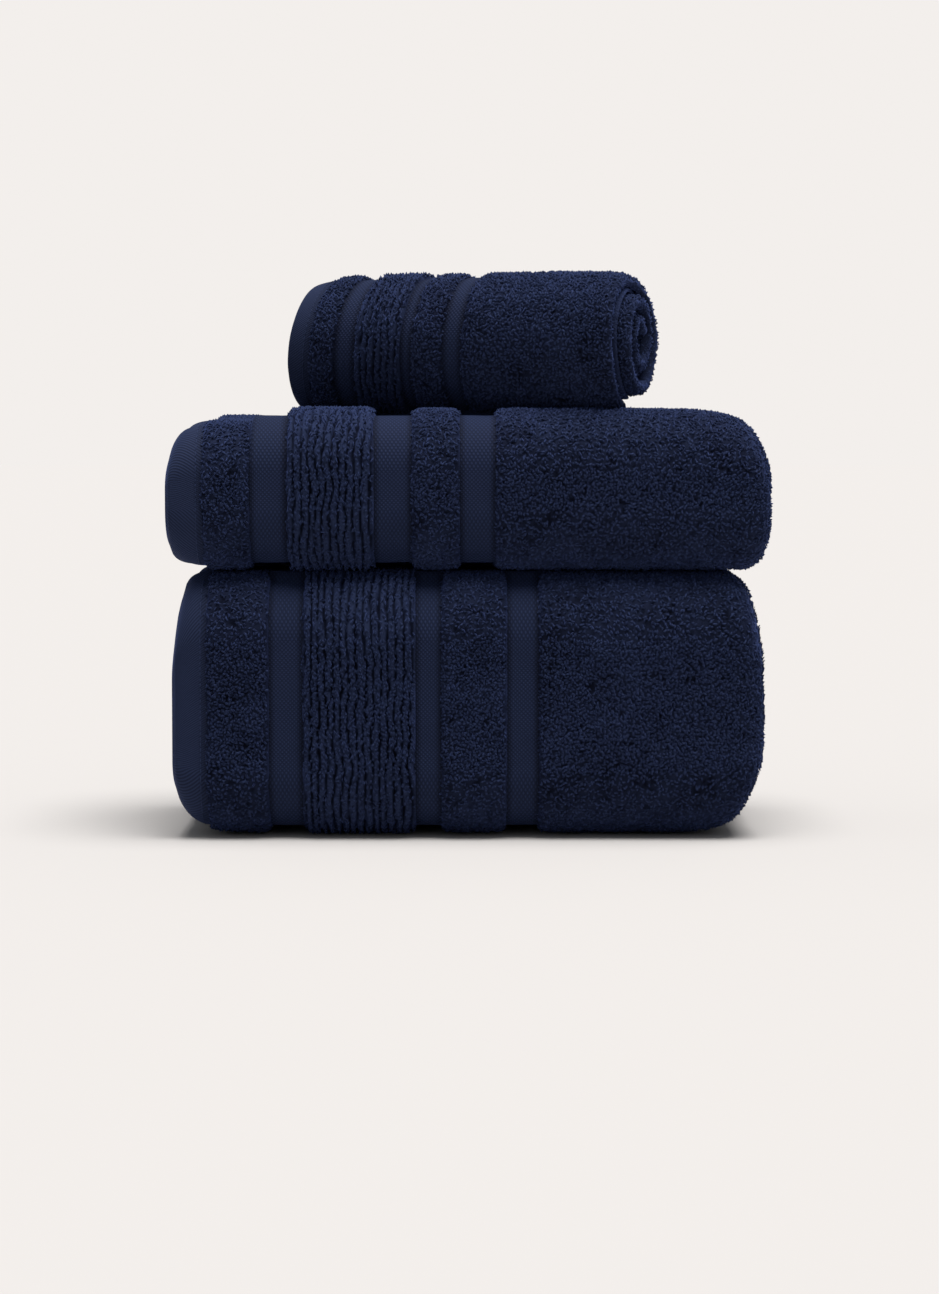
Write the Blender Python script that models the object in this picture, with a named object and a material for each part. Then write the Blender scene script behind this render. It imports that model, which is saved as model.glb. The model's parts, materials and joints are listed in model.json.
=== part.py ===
"""Bath towel set: a folded bath towel, a folded hand towel on it and a rolled guest towel on top.

Metres, +Z up, the towels' length along X and their front towards -Y. The origin is at the
middle of the underside. Each towel is one woven cloth. Its outermost layer is divided into the
cloth's woven zones, from the hem at -X to the terry field at +X: terry zones stand a pile
height above the flat dobby zones. The layers inside are one solid of their own.
"""

import math

import bmesh
import bpy

# Cloth
PILE_HEIGHT = 0.0047
HEM_RISE = 0.0010
THREAD_RADIUS = 0.0004
THREAD_FROM_HEM_EDGE = 0.0030
GAP = 0.0003

# Each towel: outside sizes of the folded or rolled cloth
BATH_LENGTH = 0.350
BATH_DEPTH = 0.190
BATH_HEIGHT = 0.157
BATH_FRONT_RADIUS = 0.042
BATH_BACK_RADIUS = 0.032
BATH_END_RADIUS = 0.022
BATH_LAYER = 0.0098

HAND_LENGTH = 0.358
HAND_DEPTH = 0.179
HAND_HEIGHT = 0.097
HAND_FRONT_RADIUS = 0.040
HAND_BACK_RADIUS = 0.030
HAND_END_RADIUS = 0.022
HAND_LAYER = 0.0105

GUEST_LENGTH = 0.200
GUEST_DIAMETER = 0.0825
GUEST_FLAT = 0.006
GUEST_END_RADIUS = 0.018
GUEST_WRAP = 0.0124
GUEST_INNER_TURNS_STAND_OUT = 0.008
GUEST_YAW = math.radians(-20.0)

# Widths of the woven zones along X, from the hem; the terry field takes what is left
BATH_ZONES = {
    "hem": 0.0200,
    "terry_band_1": 0.0370,
    "dobby_band_1": 0.0200,
    "ribbed_band": 0.0660,
    "dobby_band_2": 0.0155,
    "terry_band_2": 0.0385,
    "dobby_band_3": 0.0190,
}
HAND_ZONES = {
    "hem": 0.0213,
    "terry_band_1": 0.0284,
    "dobby_band_1": 0.0218,
    "ribbed_band": 0.0510,
    "dobby_band_2": 0.0225,
    "terry_band_2": 0.0283,
    "dobby_band_3": 0.0213,
}
GUEST_ZONES = {
    "hem": 0.0140,
    "terry_band_1": 0.0168,
    "dobby_band_1": 0.0126,
    "ribbed_band": 0.0301,
    "dobby_band_2": 0.0075,
    "terry_band_2": 0.0196,
    "dobby_band_3": 0.0119,
}
FIELD = "terry_field"

# How far each kind of zone stands above the flat ground weave
RISE = {"hem": HEM_RISE, "dobby": 0.0, "terry": PILE_HEIGHT, "ribbed": PILE_HEIGHT}

# Linear colours
NAVY = {
    "hem": (0.020, 0.027, 0.056),
    "dobby": (0.024, 0.033, 0.070),
    "terry": (0.016, 0.022, 0.050),
    "ribbed": (0.014, 0.020, 0.047),
    "inner": (0.015, 0.021, 0.048),
    "thread": (0.026, 0.035, 0.075),
}
ROUGHNESS = {
    "hem": 0.75,
    "dobby": 0.60,
    "terry": 0.95,
    "ribbed": 0.92,
    "inner": 0.95,
    "thread": 0.55,
}

# Facets
ARC_STEPS = 7
RIM_STEPS = 3
THREAD_SIDES = 2


def clear_scene():
    for old in list(bpy.data.objects):
        bpy.data.objects.remove(old, do_unlink=True)


def new_collection(name, helpers=False):
    group = bpy.data.collections.new(name)
    bpy.context.scene.collection.children.link(group)
    group.hide_render = helpers
    return group


def cotton(kind):
    """The material of one kind of zone, made once and shared by the towels."""
    name = kind + "_cotton"
    found = bpy.data.materials.get(name)
    if found:
        return found
    made = bpy.data.materials.new(name)
    made.use_nodes = True
    made.diffuse_color = (*NAVY[kind], 1.0)
    shader = made.node_tree.nodes["Principled BSDF"]
    shader.inputs["Base Color"].default_value = (*NAVY[kind], 1.0)
    shader.inputs["Roughness"].default_value = ROUGHNESS[kind]
    shader.inputs["Metallic"].default_value = 0.0
    return made


def section(towel, grow):
    """Corner centres and radii of the towel's section, as (y, z, radius, first angle).

    The section is a rectangle with rounded corners, in the plane across the towel's length,
    and grow moves it outwards all round from the flat ground weave.
    """
    half = towel["depth"] / 2 - PILE_HEIGHT + grow
    low = PILE_HEIGHT - grow
    high = towel["height"] - PILE_HEIGHT + grow
    front = towel["front_radius"] - PILE_HEIGHT + grow
    back = towel["back_radius"] - PILE_HEIGHT + grow
    return [
        (half - back, high - back, back, 0.0),
        (front - half, high - front, front, 0.5 * math.pi),
        (front - half, low + front, front, math.pi),
        (half - back, low + back, back, 1.5 * math.pi),
    ]


def outline(towel, grow, inset=0.0):
    """Points round the section, each corner an arc whose radius is shortened by inset."""
    points = []
    for y, z, radius, start in section(towel, grow):
        for step in range(ARC_STEPS + 1):
            angle = start + 0.5 * math.pi * step / ARC_STEPS
            reach = radius - inset
            points.append((y + reach * math.cos(angle), z + reach * math.sin(angle)))
    return points


def spline_from(curve, points):
    spline = curve.splines.new("POLY")
    spline.points.add(len(points) - 1)
    for point, place in zip(spline.points, points):
        point.co = (*place, 0.0, 1.0)
    spline.use_cyclic_u = True


def place_across(obj, towel, x):
    """Stands a curve drawn in its own XY plane across the towel, at x along its length."""
    obj.parent = towel["stand"]
    obj.location = (x, 0.0, 0.0)
    obj.rotation_euler = (0.5 * math.pi, 0.0, 0.5 * math.pi)


def mesh_of_curve(obj):
    """The curve's mesh with its caps welded on, in the towel's own axes."""
    bpy.context.view_layer.update()
    graph = bpy.context.evaluated_depsgraph_get()
    mesh = bpy.data.meshes.new_from_object(obj.evaluated_get(graph))
    mesh.transform(obj.matrix_local)
    mesh.name = obj.name
    build = bmesh.new()
    build.from_mesh(mesh)
    bmesh.ops.remove_doubles(build, verts=build.verts, dist=1e-6)
    bmesh.ops.recalc_face_normals(build, faces=build.faces)
    build.to_mesh(mesh)
    build.free()
    bpy.data.objects.remove(obj, do_unlink=True)
    return mesh


def block_mesh(towel, name, grow, past_end=0.0):
    """The folded towel's whole outer shape, moved outwards by grow from the ground weave.

    It is the section carried along the length, with its two end edges rounded. past_end moves
    the +X end further out.
    """
    rim = towel["end_radius"] - PILE_HEIGHT + grow
    left = -towel["length"] / 2 + HEM_RISE - grow
    right = towel["length"] / 2 - PILE_HEIGHT + grow + past_end
    curve = bpy.data.curves.new(name, "CURVE")
    curve.dimensions = "2D"
    curve.fill_mode = "BOTH"
    curve.extrude = (right - left) / 2 - rim
    curve.bevel_depth = rim
    curve.bevel_resolution = RIM_STEPS
    spline_from(curve, outline(towel, grow, inset=rim))
    obj = bpy.data.objects.new(name, curve)
    towel["parts"].objects.link(obj)
    place_across(obj, towel, (left + right) / 2)
    return mesh_of_curve(obj)


def cutter(towel, name, mesh):
    obj = bpy.data.objects.new(name, mesh)
    towel["cutters"].objects.link(obj)
    obj.parent = towel["stand"]
    obj.hide_render = True
    obj.display_type = "WIRE"
    return obj


def slab_mesh(towel, name, start, end):
    """A box across the whole towel, from start to end along its length."""
    build = bmesh.new()
    bmesh.ops.create_cube(build, size=1.0)
    width = 2 * towel["depth"]
    tall = 2 * towel["height"]
    for vert in build.verts:
        vert.co.x = start + (vert.co.x + 0.5) * (end - start)
        vert.co.y *= width
        vert.co.z = (vert.co.z + 0.25) * tall
    mesh = bpy.data.meshes.new(name)
    build.to_mesh(mesh)
    build.free()
    return mesh


def add_boolean(obj, operation, other):
    modifier = obj.modifiers.new(other.name, "BOOLEAN")
    modifier.operation = operation
    modifier.solver = "EXACT"
    modifier.object = other


def finish(obj, towel, kind):
    towel["parts"].objects.link(obj)
    obj.parent = towel["stand"]
    obj.data.materials.clear()
    obj.data.materials.append(cotton(kind))
    if obj.type == "MESH":
        obj.data.shade_smooth()
        obj.data.set_sharp_from_angle(angle=math.radians(35.0))
    return obj


def zone_spans(towel):
    """Each woven zone's name with its start and end along the length."""
    spans = []
    edge = -towel["length"] / 2
    for zone, width in towel["zones"].items():
        spans.append((zone, edge, edge + width))
        edge += width
    spans.append((FIELD, edge, towel["length"] / 2))
    return spans


def add_zone(towel, zone, start, end, hollow):
    """One woven zone of the outermost layer: a slice of the outer shape, open over the inside."""
    kind = zone.split("_")[0]
    beyond = 2 * towel["end_radius"]
    first = start - beyond if zone == "hem" else start + GAP / 2
    last = end + beyond if zone == FIELD else end - GAP / 2
    name = towel["name"] + "_" + zone
    mesh = block_mesh(towel, name, RISE[kind])
    obj = bpy.data.objects.new(name, mesh)
    slab = cutter(towel, name + "_slab", slab_mesh(towel, name + "_slab", first, last))
    add_boolean(obj, "INTERSECT", slab)
    add_boolean(obj, "DIFFERENCE", hollow)
    return finish(obj, towel, kind)


def add_hem_thread(towel, hem_end):
    """The hem's line of sewing thread, lying on the hem all round the folded towel."""
    name = towel["name"] + "_hem_thread"
    curve = bpy.data.curves.new(name, "CURVE")
    curve.dimensions = "2D"
    curve.fill_mode = "NONE"
    curve.bevel_depth = THREAD_RADIUS
    curve.bevel_resolution = THREAD_SIDES
    spline_from(curve, outline(towel, HEM_RISE + GAP + THREAD_RADIUS))
    obj = bpy.data.objects.new(name, curve)
    towel["parts"].objects.link(obj)
    place_across(obj, towel, hem_end - THREAD_FROM_HEM_EDGE)
    mesh = mesh_of_curve(obj)
    return finish(bpy.data.objects.new(name, mesh), towel, "thread")


def add_towel(towel, parts, cutters, base, yaw=0.0):
    """Builds one towel on an empty that stands at the middle of its underside."""
    towel["parts"] = parts
    towel["cutters"] = cutters
    stand = bpy.data.objects.new(towel["name"] + "_stand", None)
    parts.objects.link(stand)
    stand.location = (0.0, 0.0, base)
    stand.rotation_euler = (0.0, 0.0, yaw)
    towel["stand"] = stand
    inside = PILE_HEIGHT - towel["layer"]
    name = towel["name"] + "_" + towel["inner_name"]
    core = block_mesh(towel, name, inside - GAP, towel["stand_out"])
    finish(bpy.data.objects.new(name, core), towel, "inner")
    hollow_name = towel["name"] + "_inside"
    hollow = cutter(
        towel, hollow_name, block_mesh(towel, hollow_name, inside, towel["hollow_past_end"])
    )
    for zone, start, end in zone_spans(towel):
        add_zone(towel, zone, start, end, hollow)
        if zone == "hem":
            add_hem_thread(towel, end)


BATH = {
    "name": "bath_towel",
    "inner_name": "inner_folds",
    "length": BATH_LENGTH,
    "depth": BATH_DEPTH,
    "height": BATH_HEIGHT,
    "front_radius": BATH_FRONT_RADIUS,
    "back_radius": BATH_BACK_RADIUS,
    "end_radius": BATH_END_RADIUS,
    "layer": BATH_LAYER,
    "stand_out": 0.0,
    "hollow_past_end": 0.0,
    "zones": BATH_ZONES,
}
HAND = {
    "name": "hand_towel",
    "inner_name": "inner_folds",
    "length": HAND_LENGTH,
    "depth": HAND_DEPTH,
    "height": HAND_HEIGHT,
    "front_radius": HAND_FRONT_RADIUS,
    "back_radius": HAND_BACK_RADIUS,
    "end_radius": HAND_END_RADIUS,
    "layer": HAND_LAYER,
    "stand_out": 0.0,
    "hollow_past_end": 0.0,
    "zones": HAND_ZONES,
}
GUEST_RADIUS = (GUEST_DIAMETER - GUEST_FLAT) / 2
GUEST = {
    "name": "guest_towel",
    "inner_name": "inner_turns",
    "length": GUEST_LENGTH,
    "depth": GUEST_DIAMETER,
    "height": GUEST_DIAMETER,
    "front_radius": GUEST_RADIUS,
    "back_radius": GUEST_RADIUS,
    "end_radius": GUEST_END_RADIUS,
    "layer": GUEST_WRAP,
    "stand_out": GUEST_WRAP + GUEST_INNER_TURNS_STAND_OUT,
    "hollow_past_end": 3 * GUEST_WRAP,
    "zones": GUEST_ZONES,
}


def main():
    clear_scene()
    parts = new_collection("bath_towel_set")
    cutters = new_collection("bath_towel_set_cutters", helpers=True)
    add_towel(BATH, parts, cutters, 0.0)
    add_towel(HAND, parts, cutters, BATH_HEIGHT + GAP)
    add_towel(GUEST, parts, cutters, BATH_HEIGHT + HAND_HEIGHT + 2 * GAP, GUEST_YAW)


main()
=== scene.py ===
"""Looks of three navy towels: a folded bath towel, a folded hand towel and a rolled guest towel.

Each towel is one cloth, whose every point has a place l along its length, from the banded hem,
and w across its width. Two flat paths fold it. The strip path folds the length: it runs in x and
in depth below the towel's outer face, one layer under another. The section path then folds or
rolls that strip across the towel, in y and z. A point is found by going l along the strip path
and w along the section path, and a lift moves it out of the cloth.
"""

import json  # noqa: E402
import math  # noqa: E402

import bpy  # noqa: E402
import numpy as np  # noqa: E402
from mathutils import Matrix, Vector  # noqa: E402


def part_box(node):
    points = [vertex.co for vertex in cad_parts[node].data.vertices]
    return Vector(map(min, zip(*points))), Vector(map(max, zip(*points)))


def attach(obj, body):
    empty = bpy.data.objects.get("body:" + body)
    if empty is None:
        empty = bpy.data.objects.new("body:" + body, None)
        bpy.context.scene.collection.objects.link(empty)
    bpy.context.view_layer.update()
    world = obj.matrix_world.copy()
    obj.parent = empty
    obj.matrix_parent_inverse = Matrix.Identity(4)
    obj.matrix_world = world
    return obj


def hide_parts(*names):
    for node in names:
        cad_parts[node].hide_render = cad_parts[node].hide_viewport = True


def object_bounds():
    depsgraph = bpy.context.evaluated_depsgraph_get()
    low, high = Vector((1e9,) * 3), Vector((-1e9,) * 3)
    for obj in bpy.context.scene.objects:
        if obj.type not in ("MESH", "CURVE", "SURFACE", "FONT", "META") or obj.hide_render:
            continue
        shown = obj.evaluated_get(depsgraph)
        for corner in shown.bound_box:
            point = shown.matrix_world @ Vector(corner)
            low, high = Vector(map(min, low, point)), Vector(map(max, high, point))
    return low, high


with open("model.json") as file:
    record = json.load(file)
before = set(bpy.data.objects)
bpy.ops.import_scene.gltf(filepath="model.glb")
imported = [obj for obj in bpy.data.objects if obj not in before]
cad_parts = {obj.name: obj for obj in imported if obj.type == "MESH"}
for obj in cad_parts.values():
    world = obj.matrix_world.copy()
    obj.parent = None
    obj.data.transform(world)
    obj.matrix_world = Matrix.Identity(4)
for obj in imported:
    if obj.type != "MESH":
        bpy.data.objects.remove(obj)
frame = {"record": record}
cad_box = [list(corner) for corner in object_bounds()]

MM = 0.001

HALF_TURN = math.pi
QUARTER_TURN = math.pi / 2

# Cloth: the hem stands up from the flat bands, and thin cloth takes a share of its layer
HEM_RISE = 1.0 * MM
SELVEDGE = 5 * MM
THIN_SHARE = 0.34
FIELD = "terry_field"

# The woven zones from the hem on; the terry field takes the rest
ZONE_NAMES = (
    "hem",
    "terry_band_1",
    "dobby_band_1",
    "ribbed_band",
    "dobby_band_2",
    "terry_band_2",
    "dobby_band_3",
)

# Each towel's flat size, the widths of its zones in mm, as on the solids, its pile and rounded rim,
# and the stretches across it that its fine surfaces and single loops cover. An end's droops are
# (lift, reach) from below and (drop, reach) from above, in mm.
TOWELS = {
    "bath": {
        "flat": (0.70, 1.40),
        "zones": (20.0, 37.0, 20.0, 66.0, 15.5, 38.5, 19.0),
        "pile": 4.7 * MM,
        "rim": 3 * MM,
        "fine": (96 * MM, 470 * MM),
        "loop_cross": (112 * MM, 452 * MM),
        "droops": {"left": ((24, 7.0), (40, 3.6)), "right": ((50, 10.0), (50, 5.2))},
    },
    "hand": {
        "flat": (0.50, 1.00),
        "zones": (21.3, 28.4, 21.8, 51.0, 22.5, 28.3, 21.3),
        "pile": 4.7 * MM,
        "rim": 3 * MM,
        "fine": (100 * MM, 400 * MM),
        "loop_cross": (104 * MM, 392 * MM),
        "droops": {"left": ((11, 4.2), (22, 5.0)), "right": ((16, 2.6), (30, 12.0))},
    },
    "guest": {
        "flat": (0.40, 0.60),
        "zones": (14.0, 16.8, 12.6, 30.1, 7.5, 19.6, 11.9),
        "pile": 3.4 * MM,
        "rim": 1.5 * MM,
        "fine": (0.0, 300 * MM),
        "loop_cross": (0.0, 230 * MM),
        "droops": {"left": ((7, 4.0), (4, 9.0)), "right": ((0, 5.0), (3, 8.0))},
    },
}
BATH_LAYERS = 16
HAND_LAYERS = 9
BATH_CORNER = 20 * MM
HAND_CORNER = 21 * MM
GUEST_LAYERS = (5.6 * MM, 3.4 * MM, 3.4 * MM)

# The guest towel's place: how far it is turned on the towel below, and its roll's measures
GUEST_YAW = math.radians(-20.0)
GUEST_LENGTH = 200 * MM
GUEST_FIRST_ANGLE = math.radians(-78.0)
GUEST_LEAN = 7 * MM
GUEST_SINK = 6.5 * MM

# The roll's core stands out at the right from CORE_START on, but for its last layer
CORE_START = 78 * MM
CORE_SOFT = 80 * MM
CORE_OUT = 8 * MM
LAST_LAYER_BACK = 12 * MM

# Settling: the level between droop and lift, and the slow sway of the front and back
STILL_LEVEL = 0.36
SWAY = 1.6 * MM
SWAY_SIZE = 70 * MM

# The hand towel's left shoulder in mm: how far from the end it starts, its slope and its drop
SHOULDER_START = 52
SHOULDER_SLOPE = 4
SHOULDER_DROP = 7.0

# Relief of the pile and of the flat bands: the fine surfaces' grid, how far an edge reaches below
# the pile, the sizes of curls and clumps, the ribs' pitch and the shadow at a flat band's edges
RELIEF_STEP = 1.2 * MM
ROOT = 1.2 * MM
CURL_SIZE = 2.6 * MM
CLUMP_SIZE = 9 * MM
RIB_PITCH = 4.5 * MM
RIB_CURL_SIZE = 2.3 * MM
BAND_SHADOW = 4.5 * MM

# Single loops: how many to a square cm, the ranges of their sizes in mm, how low in the pile they
# may stand, and the angles along their bow and round their yarn
LOOP_DENSITY = 37
ROLL_END_LOOPS = 50
SPARSE_LOOPS = 24
FIELD_PARTS = 4
HALF_SPAN = (0.9, 1.6)
RISE = (1.1, 1.9)
YARN = (0.50, 0.68)
LOWEST_LOOP = {"terry": 0.08, "ribbed": 0.24}
BOW = np.radians([2, 90, 178])
ROUND_YARN = np.radians([90, 210, 330])
LOOP_POINTS = len(BOW) * len(ROUND_YARN)

# The whole cloth: rows close to its rims, in mm
RIM_ROWS = np.array([0.3, 0.8, 1.4])
CLOTH_STEP = 7 * MM

# Hem stitches: their pitch, the places and radii of a stitch's rings, and its number of sides
STITCH_PITCH = 3.2 * MM
STITCH_RINGS = np.array([0.02, 0.2, 0.5, 0.8, 0.98])
STITCH_RADII = np.array([0.25, 0.9, 1.0, 0.9, 0.25]) * 0.36 * MM
STITCH_SIDES = 6

# The pattern coordinates of a cloth: this many units to a metre
UV_PER_METRE = 10

# Colours
# The pile's shade colour: painted shade deep between the loops
PILE_PAINTED_SHADE = (0.0018, 0.0026, 0.0074)
PILE_SHEEN = (0.22, 0.34, 1.0)
FLAT_SHEEN = (0.25, 0.38, 1.0)

# Camera and light
SENSOR = 36.0
CAMERA_AWAY = 1.8
CAMERA_HEIGHT = 0.23
LOOK_HEIGHT = 0.114
FRAME_HEIGHT = 0.7555
AMBIENT = 0.31

# Seeds
SEEDS = {"bath": 100, "hand": 300, "guest": 500}
ZONE_SEEDS = {name: 10 * k for k, name in enumerate((*ZONE_NAMES, FIELD))}


# ------------------------ paths


def turtle(start, heading, moves, step=0.25 * MM):
    """Points of a flat path: a run is a straight of one length, a turn an arc of (radius, angle).

    Positive angles turn left. A run's point at distance s is start + s * heading, and a turn's
    lies on a circle whose centre is one radius to the side that it turns to.
    """
    points = [np.array([start], float)]
    bends = [np.array([False])]
    here = np.array(start, float)
    angle = heading
    for radius, amount in moves:
        if radius is None:
            s = np.linspace(0, amount, max(2, int(abs(amount) / step)))[1:]
            ahead = np.array([math.cos(angle), math.sin(angle)])
            new = here + s[:, None] * ahead
        else:
            side = math.copysign(1.0, amount)
            centre = here + side * radius * np.array([-math.sin(angle), math.cos(angle)])
            count = max(6, int(abs(amount) * radius / step))
            turned = angle + np.linspace(0, amount, count)[1:]
            new = centre + side * radius * np.stack([np.sin(turned), -np.cos(turned)], 1)
            angle += amount
        points.append(new)
        bends.append(np.full(len(new), radius is not None))
        here = new[-1]
    return np.concatenate(points), np.concatenate(bends)


def path_of(points, bends, side):
    """A path by distance along it: its points and its unit normals on the outer side.

    The normal is the way on turned a quarter turn, left for side 1 and right for -1.
    """
    gaps = np.linalg.norm(np.diff(points, axis=0), axis=1)
    s = np.concatenate([[0], np.cumsum(gaps)])
    ahead = np.gradient(points, s, axis=0)
    ahead /= np.linalg.norm(ahead, axis=1)[:, None]
    normals = side * np.stack([-ahead[:, 1], ahead[:, 0]], 1)
    return {"s": s, "p": points, "n": normals, "bend": bends, "length": float(s[-1])}


def follow(path, s):
    """Points and outer normals of a path at the distances s, by straight interpolation."""
    found = []
    for kind in ("p", "n"):
        axes = [np.interp(s, path["s"], path[kind][:, k]) for k in (0, 1)]
        found.append(np.stack(axes, -1))
    return found


def marks(path, start, end, run_step, turn_step):
    """Distances from start to end along a path, closer together on its turns."""
    s = path["s"]
    step = np.where(path["bend"], turn_step, run_step)
    count = np.concatenate([[0], np.cumsum(np.diff(s) / step[1:])])
    low, high = np.interp([start, end], s, count)
    spread = np.linspace(low, high, max(2, int(round(high - low)) + 1))
    return np.interp(spread, count, s)


# ------------------------ noise

SIZE = 256
LATTICE = np.random.default_rng(11).random((SIZE, SIZE))
SEED_SHIFT = np.array([37.3, 91.7, 13.1])


def noise(u, v, seed=0):
    """Smooth noise from 0 to 1 on a unit lattice: random corner values blended by 3t^2 - 2t^3."""
    u = u + SEED_SHIFT[0] * seed
    v = v + SEED_SHIFT[1] * seed
    iu = np.floor(u).astype(int)
    iv = np.floor(v).astype(int)
    fu = u - iu
    fv = v - iv
    fu = fu * fu * (3 - 2 * fu)
    fv = fv * fv * (3 - 2 * fv)
    a = LATTICE[iu % SIZE, iv % SIZE]
    b = LATTICE[(iu + 1) % SIZE, iv % SIZE]
    c = LATTICE[iu % SIZE, (iv + 1) % SIZE]
    d = LATTICE[(iu + 1) % SIZE, (iv + 1) % SIZE]
    return (a * (1 - fu) + b * fu) * (1 - fv) + (c * (1 - fu) + d * fu) * fv


def smooth(x):
    """0 below 0, 1 above 1 and 3x^2 - 2x^3 between."""
    x = np.clip(x, 0, 1)
    return x * x * (3 - 2 * x)


def solid_noise(p, size, seed=0):
    """The same noise through space: eight corner values of a cube of the lattice, blended.

    The lattice is flat, so each level in z reads it at a place of its own, shifted by 61 and 157.
    """
    q = p / size + SEED_SHIFT * seed
    cell = np.floor(q).astype(int)
    f = q - cell
    f = f * f * (3 - 2 * f)
    total = 0.0
    for corner in np.ndindex(2, 2, 2):
        i = cell + corner
        share = np.prod(np.where(corner, f, 1 - f), axis=-1)
        row = (i[..., 0] + 61 * i[..., 2]) % SIZE
        column = (i[..., 1] + 157 * i[..., 2]) % SIZE
        total = total + share * LATTICE[row, column]
    return total


def curls(p, size, seed):
    """Curly ridges from 0 to 1: one minus the distance from the middle value of a bent noise."""
    bends = [solid_noise(p, 1.9 * size, seed + k) - 0.5 for k in (1, 2, 3)]
    wave = solid_noise(p + 1.1 * size * np.stack(bends, -1), size, seed)
    return 1 - np.abs(2 * wave - 1)


# ------------------------ towels


def body_box(body):
    """Lowest and highest corner of a body's solids."""
    nodes = frame["record"]["behaviour"]["bodies"][body]
    corners = np.array([[list(c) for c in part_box(node)] for node in nodes])
    return corners[:, 0].min(0), corners[:, 1].max(0)


def zone_spans(towel):
    """Each woven zone as (name, first l, last l) on the outer face."""
    spans = []
    edge = 0.0
    for zone, width in zip(ZONE_NAMES, towel["zones"]):
        spans.append((zone, edge, edge + width * MM))
        edge += width * MM
    spans.append((FIELD, edge, towel["face"]))
    return spans


def layer_middles(layers):
    """The depth of each layer's middle under the strip's outer face."""
    return np.cumsum(layers) - np.array(layers) / 2


def towel_of(name, half, layers, strip, section, face, first_fold):
    """A towel's facts: its paths, its box, and how far its outer face and its first fold reach."""
    low, high = body_box(f"{name}_towel")
    return {
        **TOWELS[name],
        "name": name,
        "body": f"{name}_towel",
        "half": half,
        "layers": layers,
        "deep": sum(layers),
        "strip": path_of(*strip, side=-1),
        "section": section,
        "face": face,
        "wrap_end": face + math.pi * first_fold,
        "low": low,
        "high": high,
    }


def bath_towel():
    """The length folded in half twice, and the width in half twice round it."""
    low, high = body_box("bath_towel")
    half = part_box("bath_towel_terry_field")[1][0]
    layers = [(high[2] - low[2]) / BATH_LAYERS] * 4
    deep = sum(layers)
    mid = layer_middles(layers)
    outer = (mid[3] - mid[0]) / 2
    inner = (mid[2] - mid[1]) / 2
    left_fold = (mid[3] - mid[2]) / 2
    right = half - deep / 2
    left = -half + 2 * MM + layers[0]
    strip = turtle(
        (-half, mid[0]),
        0.0,
        [
            (None, right + half),
            (outer, HALF_TURN),
            (None, right - left),
            (left_fold, -HALF_TURN),
            (None, right - left),
            (inner, -HALF_TURN),
            (None, right + half - 3 * MM),
        ],
    )
    front = low[1]
    back = high[1]
    front_turn = front + deep / 2 + BATH_CORNER
    centre_back = back - deep
    centre_inside = front + 2 * deep
    section = turtle(
        (back - 5 * MM, low[2] + deep / 2),
        HALF_TURN,
        [
            (None, back - 5 * MM - front_turn),
            (BATH_CORNER, -QUARTER_TURN),
            (None, 3 * deep - 2 * BATH_CORNER),
            (BATH_CORNER, -QUARTER_TURN),
            (None, centre_back - front_turn),
            (deep / 2, -HALF_TURN),
            (None, centre_back - centre_inside),
            (deep / 2, HALF_TURN),
            (None, back - 9 * MM - centre_inside),
        ],
    )
    section = path_of(*section, side=1)
    return towel_of("bath", half, layers, strip, section, right + half, outer)


def hand_towel():
    """The length folded in three with the far end inside, and the width in three round it."""
    low, high = body_box("hand_towel")
    half = high[0]
    layers = [(high[2] - low[2]) / HAND_LAYERS] * 3
    deep = sum(layers)
    mid = layer_middles(layers)
    outer = (mid[2] - mid[0]) / 2
    left_fold = (mid[2] - mid[1]) / 2
    right = half - deep / 2
    left = -half + 2 * MM + layers[0]
    strip = turtle(
        (-half, mid[0]),
        0.0,
        [
            (None, right + half),
            (outer, HALF_TURN),
            (None, right - left),
            (left_fold, -HALF_TURN),
            (None, 300 * MM),
        ],
    )
    front = low[1]
    back = high[1]
    front_turn = front + deep / 2 + HAND_CORNER
    inside_edge = front + 1.55 * deep
    section = turtle(
        (inside_edge, low[2] + 1.5 * deep),
        0.0,
        [
            (None, back - deep - inside_edge),
            (deep / 2, HALF_TURN),
            (None, back - deep - front_turn),
            (HAND_CORNER, QUARTER_TURN),
            (None, 2 * deep - 2 * HAND_CORNER),
            (HAND_CORNER, QUARTER_TURN),
            (None, back - 5 * MM - front_turn),
        ],
    )
    section = path_of(*section, side=-1)
    return towel_of("hand", half, layers, strip, section, right + half, outer)


def spiral(deep, height, width):
    """The roll's path from its outer edge to its middle, in y and z.

    The radius falls by one strip's depth a turn: r = R - deep * (angle - first) / 2 pi, and the
    outer edge lies underneath. R is set by the roll's height, and the cloth's width ends the path.
    """
    first = GUEST_FIRST_ANGLE
    to_top = (0.5 * math.pi - first) / (2 * math.pi)
    outer = (height + deep * to_top) / (1 + math.sin(-first))
    radius = outer - deep / 2
    turns = (radius - 0.42 * deep) / deep
    angle = first + np.linspace(0, 2 * math.pi * turns, 2400)
    reach = radius - deep * (angle - first) / (2 * math.pi)
    centre = np.array([0.0, outer * math.sin(-first)])
    points = centre + reach[:, None] * np.stack([-np.cos(angle), np.sin(angle)], 1)
    gaps = np.linalg.norm(np.diff(points, axis=0), axis=1)
    keep = np.concatenate([[0], np.cumsum(gaps)]) <= width
    return points[keep], np.full(int(keep.sum()), True)


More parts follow.
